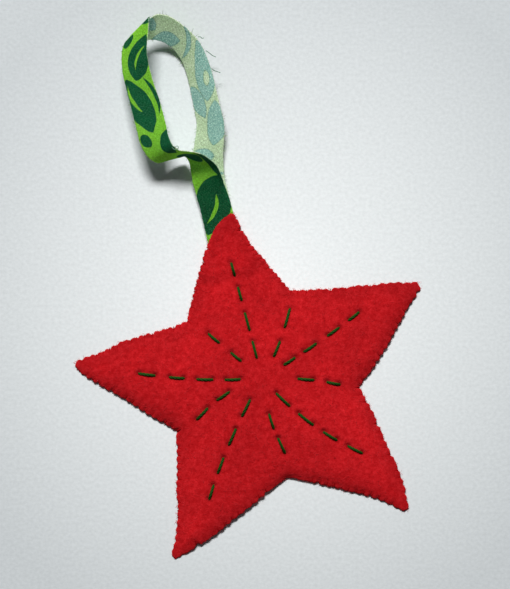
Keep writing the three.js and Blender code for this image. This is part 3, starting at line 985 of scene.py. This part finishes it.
stations = [
    *tail_stations(layer_offset),
    loop_end(layer_offset),
    *[loop_station(*row) for row in station_shares],
    loop_end(-layer_offset),
    *reversed(tail_stations(-layer_offset)),
]
left_edge = smooth_line([m - a * strip_width / 2 for m, a in stations], station_steps, 0)
right_edge = smooth_line([m + a * strip_width / 2 for m, a in stations], station_steps, 0)
middle_line = [(a + b) / 2 for a, b in zip(left_edge, right_edge)]
middle_lengths = np.cumsum([0] + [(b - a).length for a, b in zip(middle_line, middle_line[1:])])
strip_length = float(middle_lengths[-1])
edge_axes = [np.array([list(point) for point in edge]).T for edge in (left_edge, right_edge)]


def strip_point(across, along):
    """A point of the strip: across from 0, its left edge, to 1, and along in metres."""
    left, right = [
        [np.interp(along, middle_lengths, axis) for axis in edge] for edge in edge_axes
    ]
    return Vector([a + (b - a) * across for a, b in zip(left, right)])


def motif_distance(across, along, shape):
    """Signed distance in mm to a motif, negative inside it."""
    kind, centre_across, centre_along, half_width, half_length, turn = shape
    angle = math.radians(turn)
    x, y = across - centre_across, along - centre_along
    u = x * math.cos(angle) + y * math.sin(angle)
    v = y * math.cos(angle) - x * math.sin(angle)
    if kind == "pod":
        return (math.hypot(u / half_width, v / half_length) - 1) * min(half_width, half_length)
    radius = (half_length**2 + half_width**2) / (2 * half_width)
    if kind == "leaf":
        return math.hypot(abs(u) + radius - half_width, v) - radius
    inner = (half_length**2 + (half_width * 0.4) ** 2) / (half_width * 0.8)
    outside = math.hypot(u + radius - half_width, v) - radius
    inside = math.hypot(u + inner - half_width * 0.4, v) - inner
    return max(outside, -inside)


# Print: generic leaves, moons and pods laid out along the strip, as [kind, across, along, half
# width, half length, turn] in mm and degrees: those in dark green, then the light ones on them.
dark_motifs = [
    ["leaf", 6.5, 4, 5.0, 9, 12],
    ["leaf", 5.0, 19, 5.6, 11, -24],
    ["leaf", 9.5, 33, 2.4, 5.2, 8],
    ["pod", 3.6, 37.5, 3.6, 4.4, 20],
    ["leaf", 8.8, 49, 2.8, 6.6, -12],
    ["pod", 2.2, 53, 1.6, 2.2, 40],
    ["leaf", 3.0, 64, 4.4, 9.5, 14],
    ["moon", 7.6, 67, 2.6, 6.4, 10],
    ["leaf", 6.6, 79, 4.0, 7.4, -20],
    ["pod", 1.6, 86, 1.8, 2.8, 0],
    ["leaf", 7.2, 92.5, 2.6, 5.4, 38],
    ["leaf", 1.8, 101, 2.6, 5.6, -30],
    ["moon", 5.6, 107, 3.0, 5.8, 62],
    ["leaf", 7.6, 119, 4.2, 9.0, 12],
    ["leaf", 2.0, 127, 2.6, 6.4, -14],
    ["leaf", 7.6, 135, 3.6, 7.2, 8],
    ["pod", 3.6, 145, 3.3, 2.0, 12],
    ["leaf", 5.4, 151.5, 0.9, 5.2, 82],
    ["leaf", 1.4, 160, 2.4, 5.8, 8],
    ["leaf", 7.0, 172, 4.4, 8.0, -12],
    ["pod", 2.6, 184, 2.6, 3.6, 20],
]
light_motifs = [
    ["moon", 3.6, 17.5, 2.0, 5.4, -30],
    ["moon", 2.4, 66, 1.9, 5.0, -160],
    ["pod", 7.4, 121, 1.3, 2.2, 10],
    ["moon", 7.0, 79, 1.5, 4.2, 150],
]
waver_mm = 0.22
waver_length_mm = 2.4
furthest_mm = 4


def print_distance(across, along):
    """Signed distance in mm to the dark print, with the slight waver of a hand-cut screen."""
    waver = waver_mm * noise.noise(Vector((across / waver_length_mm, along / waver_length_mm, 4)))
    dark = min(motif_distance(across, along, shape) for shape in dark_motifs)
    light = min(motif_distance(across, along, shape) for shape in light_motifs)
    return min(max(dark, -light), furthest_mm) + waver


def cotton_material(name, dark_low, dark_high, light_low, light_high, thread_share, overlap):
    """Plain-woven quilting cotton, surface-printed: sharp-edged colour broken by uneven threads,
    which are drawn 0.55 mm apart, coarser than the real 0.3 mm, so that they show. The two
    printings overlap in a thin darker line, which only the wrong side shows. Light that falls on
    one side of so thin a cloth comes faintly through to the other."""
    material, add, place = new_material(name)
    flat_place = add("UVMap", uv_map="UVMap")
    cloth_mm = add(
        "Mapping", {"Vector": flat_place, "Scale": (strip_width * 1000, strip_length * 1000, 1)}
    )
    yarns, slubs = [], []
    for direction, stretch in (("X", (1.5, 0.3, 1)), ("Y", (0.3, 1.5, 1))):
        wave = add(
            "TexWave",
            {"Vector": cloth_mm, "Scale": 0.571, "Distortion": 0.5, "Detail Scale": 2.0},
            bands_direction=direction,
        )
        stretched = add("Mapping", {"Vector": cloth_mm, "Scale": stretch})
        yarns.append(wave.outputs[1])
        slubs.append(add("TexNoise", {"Vector": stretched, "Detail": 2}))
    weave, uneven_yarns = [
        add("Math", {0: warp, 1: weft}, operation="MULTIPLY") for warp, weft in (yarns, slubs)
    ]
    uneven = add(
        "MapRange",
        {"Value": uneven_yarns, "From Min": 0.17, "From Max": 0.36, "To Min": 0.62, "To Max": 1.42},
    )
    speck = add("TexNoise", {"Vector": cloth_mm, "Scale": 3.2, "Detail": 3})
    cloud = add("TexNoise", {"Vector": place, "Scale": 260, "Detail": 2})
    printed = add("Attribute", attribute_name="print_distance").outputs["Fac"]
    roughened = add("Math", {0: speck, 1: 0.30, 2: -0.15}, operation="MULTIPLY_ADD")
    edge = add("Math", {0: printed, 1: roughened}, operation="ADD")
    is_light = add("MapRange", {"Value": edge, "From Min": -0.09, "From Max": 0.09})
    dark, light = [
        add("Mix", {0: cloud, 6: linear(low), 7: linear(high)}, data_type="RGBA")
        for low, high in ((dark_low, dark_high), (light_low, light_high))
    ]
    colour = add("Mix", {0: is_light, 6: dark, 7: light}, data_type="RGBA")
    from_line = add("Math", {0: edge}, operation="ABSOLUTE")
    line = add(
        "MapRange",
        {"Value": from_line, "From Min": 0.05, "From Max": 0.28, "To Min": overlap, "To Max": 0},
    )
    bare_thread = add("Math", {0: uneven_yarns, 1: speck}, operation="MULTIPLY")
    show = add(
        "MapRange",
        {"Value": bare_thread, "From Min": 0.12, "From Max": 0.22, "To Max": thread_share},
    )
    for factor, code in ((line, "#3F7468"), (show, "#DCEBD4")):
        colour = add("Mix", {0: factor, 6: colour, 7: linear(code)}, data_type="RGBA")
    colour = add("HueSaturation", {"Color": colour, "Value": uneven})
    bump = add("Bump", {"Height": weave, "Strength": 0.45, "Distance": weave_relief})
    shader = add(
        "BsdfPrincipled",
        {"Base Color": colour, "Roughness": 0.85, "Specular IOR Level": 0.08,
         "Subsurface Weight": 0.8, "Subsurface Radius": (1, 1, 1), "Subsurface Scale": cloth_glow,
         "Normal": bump},
    )
    add("OutputMaterial", {"Surface": shader})
    return material


bpy.ops.object.select_all(action="DESELECT")
bpy.ops.mesh.primitive_grid_add(x_subdivisions=strip_columns, y_subdivisions=strip_rows, size=1)
strip = bpy.context.object
strip.name = "hanger_strip"
printed_values = []
for vertex in strip.data.vertices:
    across, along = vertex.co.x + 0.5, (vertex.co.y + 0.5) * strip_length
    printed_values.append(print_distance(across * strip_width * 1000, along * 1000))
    place = strip_point(across, along)
    fray = fray_depth * noise.noise(Vector((along / fray_length, round(across) * 7, 0)))
    if across < 0.01 or across > 0.99:
        place += (strip_point(1, along) - strip_point(0, along)).normalized() * fray
    ripple = ripple_height * noise.noise(Vector((across * 2.2, along / ripple_length, 6)))
    vertex.co = (place.x, place.y, max(place.z + ripple, cloth_thickness / 2))
attribute = strip.data.attributes.new("print_distance", "FLOAT", "POINT")
attribute.data.foreach_set("value", printed_values)
for row in (
    ["printed_cotton_face", "#003C20", "#02582F", "#67AA24", "#7FBE32", 0.04, 0],
    ["printed_cotton_back", "#72A59A", "#90BDB2", "#A3C28F", "#C7DFB5", 0.6, 0.5],
    ["cotton_cut_edge", "#5E8A62", "#7CA27C", "#B9CF96", "#D2DFB6", 0.5, 0],
):
    strip.data.materials.append(cotton_material(*row))
apply_modifier(
    "SOLIDIFY", thickness=cloth_thickness, offset=0, material_offset=1, material_offset_rim=2
)
bpy.ops.object.shade_smooth()
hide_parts("hanger_loop", "hanger_tail_front", "hanger_tail_back")
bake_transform(strip)

# Frayed threads: the strip is torn, so three long weft threads and a curled one have worked
# loose along its edges, and short ends stand out all along. They are single cotton yarns.
yarn_radius = 0.00011
yarn_sink = 0.0005
yarn_wave = 0.0003
yarn_turn = 2.1
yarn_step = 0.0004
curl_wave = 0.0004
curl_step = 0.0003
long_threads = [
    [[198.0, 37.4], [200.4, 37.2], [202.2, 38.6], [203.8, 38.0]],
    [[205.8, 50.8], [209.4, 53.2], [212.6, 55.6], [216.0, 57.0]],
    [[211.3, 68.6], [214.4, 70.8], [217.2, 71.6], [220.4, 72.6]],
]
curled_thread = [
    [172.6, 148.6], [175.2, 150.8], [178.2, 150.6], [179.2, 148.4], [177.4, 147.2],
    [175.8, 148.8],
]
curl_foot = (172, 149)
long_part = (0.45, 0.8)
curl_part = (0.15, 0.45)
end_radius = 0.00005
end_count = 210
end_length = (0.00025, 0.0008)
end_root = 0.0002
tail_margin = 0.004
heading_step = 0.001


def pixel_place(u, v):
    """A pixel of the photograph as metres on the rest plane."""
    column, row = ray_centre_pixel
    return Vector(((u - column) * metres_per_pixel, (row - v) * metres_per_pixel, 0))


def yarn_line(pixels, foot, part, sink, wave, turn, step):
    """A loose yarn's line through pixels of the photograph. It starts level with the strip's
    right edge where that passes nearest to its foot, along a part of the strip's length."""
    foot = pixel_place(*foot)
    spots = [strip_point(1, along) for along in np.linspace(*part, 201) * strip_length]
    height = min(spots, key=lambda spot: (spot.xy - foot.xy).length).z
    points = [
        pixel_place(*pixel) + Vector((0, 0, height - sink * k + wave * math.sin(turn * k)))
        for k, pixel in enumerate(pixels)
    ]
    return evenly_divided(smooth_line(points, 6), step)


loose = [
    yarn_line(row, row[0], long_part, yarn_sink, yarn_wave, yarn_turn, yarn_step)
    for row in long_threads
]
loose.append(yarn_line(curled_thread, curl_foot, curl_part, 0, curl_wave, 1, curl_step))
random.seed(11)
ends = []
for number in range(end_count):
    side = random.choice((0, 1))
    along = random.uniform(tail_length + tail_margin, strip_length - tail_length - tail_margin)
    start = strip_point(side, along)
    outward = (start - strip_point(1 - side, along)).normalized()
    heading = (strip_point(side, along + heading_step) - start).normalized()
    lean = random.uniform(-0.9, 0.9)
    length = random.uniform(*end_length) * (1 + 1.2 * (random.random() > 0.93))
    points = [start - outward * end_root]
    for share in (0.35, 0.7, 1):
        rise = Vector((0, 0, random.uniform(-0.25, 0.25) * share))
        bend = heading * (lean * share * share) + rise
        point = start + (outward + bend).normalized() * length * share
        points.append(Vector((point.x, point.y, max(point.z, end_radius))))
    ends.append(points)
frayed = tube_object("frayed_threads", loose, yarn_radius, 1)
frayed.data.materials.append(thread_material("loose_cotton_yarn", "#1E5A3C", "#8FB79A", 0.1))
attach(frayed, "loop")
torn_ends = tube_object("torn_edge_ends", ends, end_radius, 0)
torn_ends.data.materials.append(thread_material("cotton_yarn_ends", "#3E7A3A", "#B7D29A", 0.1))
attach(torn_ends, "loop")

# Felt hairs: single wool fibres that stand out from the cut rims and lie over the front, as the
# felt is matted and not sheared. They are drawn 0.04 mm thick, a little thicker than wool.
hair_radius = 0.00002
rim_hair_count = 3000
rim_hair_inset = (0.0001, 0.0011)
rim_hair_length = (0.0003, 0.0010)
rim_hair_room = 0.0007
face_hair_count = 1800
face_hair_length = (0.0007, 0.0018)
face_hair_lifts = [(0, -0.0001), (0.35, 0.00012), (0.7, 0.00018), (1, 0.0001)]
bare_rim = 0.0012
star_reach = 0.062

random.seed(23)
hairs = []
for number in range(rim_hair_count):
    index = random.randrange(rim_count)
    outward = rim_outward[index]
    along = Vector((-outward.y, outward.x, 0))
    base = rim_line[index] + outward * (scallop(index) - random.uniform(*rim_hair_inset))
    level, thickness = front_surface(base.x, base.y)
    share = random.random()
    base.z = level + thickness - share * (thickness + rim_hair_room)
    length = random.uniform(*rim_hair_length) * random.uniform(0.5, 1)
    tilt = random.uniform(-0.3, 1.1) * (1 - share)
    heading = (outward + along * random.uniform(-1.3, 1.3) + Vector((0, 0, tilt))).normalized()
    curl = along * random.uniform(-0.8, 0.8) + Vector((0, 0, random.uniform(-0.4, 0.3)))
    points = [base + heading * length * t + curl * length * t * t for t in (0, 0.4, 0.75, 1)]
    hairs.append([Vector((p.x, p.y, max(p.z, sheet_clearance / 2))) for p in points])
while len(hairs) < rim_hair_count + face_hair_count:
    x, y = random.uniform(-star_reach, star_reach), random.uniform(-star_reach, star_reach)
    if rim_place(x, y)[0] < bare_rim:
        continue
    turn = random.uniform(0, 2 * math.pi)
    heading = Vector((math.cos(turn), math.sin(turn), 0))
    side = Vector((-heading.y, heading.x, 0)) * random.uniform(-0.7, 0.7)
    length = random.uniform(*face_hair_length)
    points = []
    for t, lift in face_hair_lifts:
        spot = Vector((x, y, 0)) + (heading * t + side * t * t) * length
        level, thickness = front_surface(spot.x, spot.y)
        spot.z = level + thickness + lift * random.uniform(0.6, 2.2)
        points.append(spot)
    hairs.append(points)


def hair_material():
    """Loose wool fibres: the felt's red, paler where light passes through them."""
    material, add, place = new_material("wool_fibres")
    patches = add("TexNoise", {"Vector": place, "Scale": 700})
    colour = add("Mix", {0: patches, 6: linear("#B8141A"), 7: linear("#E04046")}, data_type="RGBA")
    shader = add(
        "BsdfPrincipled", {"Base Color": colour, "Roughness": 0.9, "Specular IOR Level": 0.05}
    )
    add("OutputMaterial", {"Surface": shader})
    return material


felt_hairs = tube_object("felt_hairs", hairs, hair_radius, 0)
felt_hairs.data.materials.append(hair_material())
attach(felt_hairs, "star")
